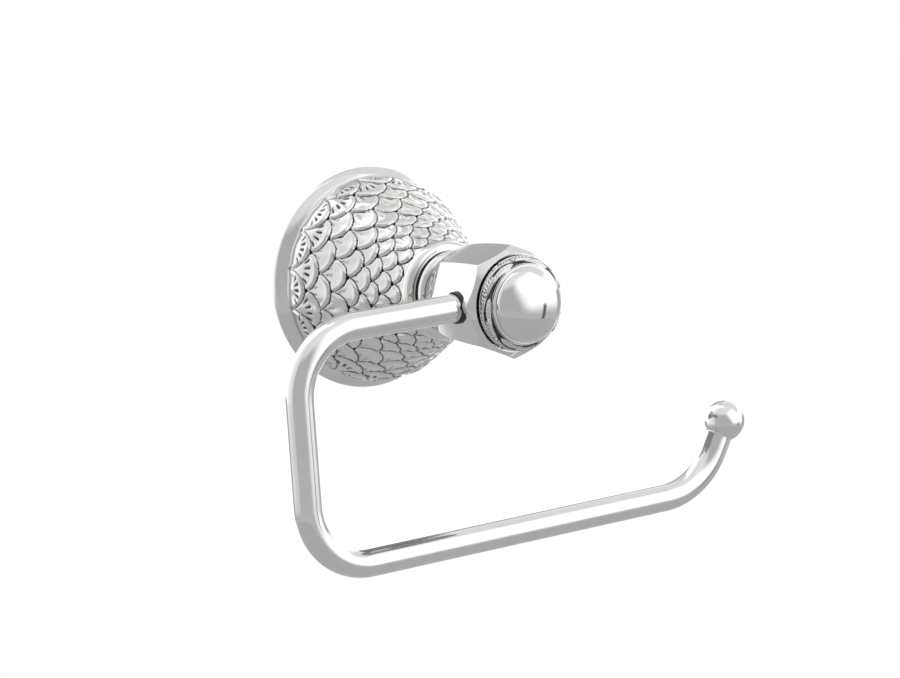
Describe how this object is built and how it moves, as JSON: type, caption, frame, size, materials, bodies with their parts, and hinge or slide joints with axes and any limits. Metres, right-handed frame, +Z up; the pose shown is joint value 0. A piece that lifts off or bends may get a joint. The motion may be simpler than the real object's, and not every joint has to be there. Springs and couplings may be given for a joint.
{
  "type": "toilet paper holder",
  "caption": "Wall-mounted toilet paper holder: embossed round rosette, eight-sided knuckle with leaf ring and domed cap, and a hanging open arm with a ball end that lifts to load the roll.",
  "frame": {"origin": "centre of the rosette's flat back face, on the wall", "axes": "-Y out from the wall along the post, +Z up, the arm's leg hangs on the -X side and its open end points to +X"},
  "size_m": [0.1554, 0.0884, 0.104],
  "materials": {
    "rosette_chrome": "polished, embossed with overlapping scales",
    "plain_chrome": "mirror polished",
    "leaf_chrome": "polished, cast with leaves and berries",
    "rod_chrome": "mirror polished",
    "bracket_steel": "zinc plated",
    "black_nylon": "moulded"
  },
  "bodies": {
    "post": {"wall_plate": "bracket_steel", "post_stud": "bracket_steel", "lock_washer": "bracket_steel", "stud_nut": "bracket_steel", "rosette": "rosette_chrome", "rosette_collar": "plain_chrome", "neck_washer": "black_nylon", "neck_ring": "plain_chrome", "knuckle": "plain_chrome", "leaf_ring": "leaf_chrome", "dome_cap": "plain_chrome", "cap_screw": "bracket_steel", "arm_bush": "black_nylon", "arm_retaining_screw": "bracket_steel"},
    "arm": {"arm_rod": "rod_chrome", "end_ball": "rod_chrome", "end_ball_stud": "bracket_steel"}
  },
  "joints": [
    {"name": "arm_swing", "type": "hinge", "parent": "post", "child": "arm", "pos_m": [0, -0.07, 0], "axis": [-1, 0, 0], "range_deg": [0, 100]}
  ]
}
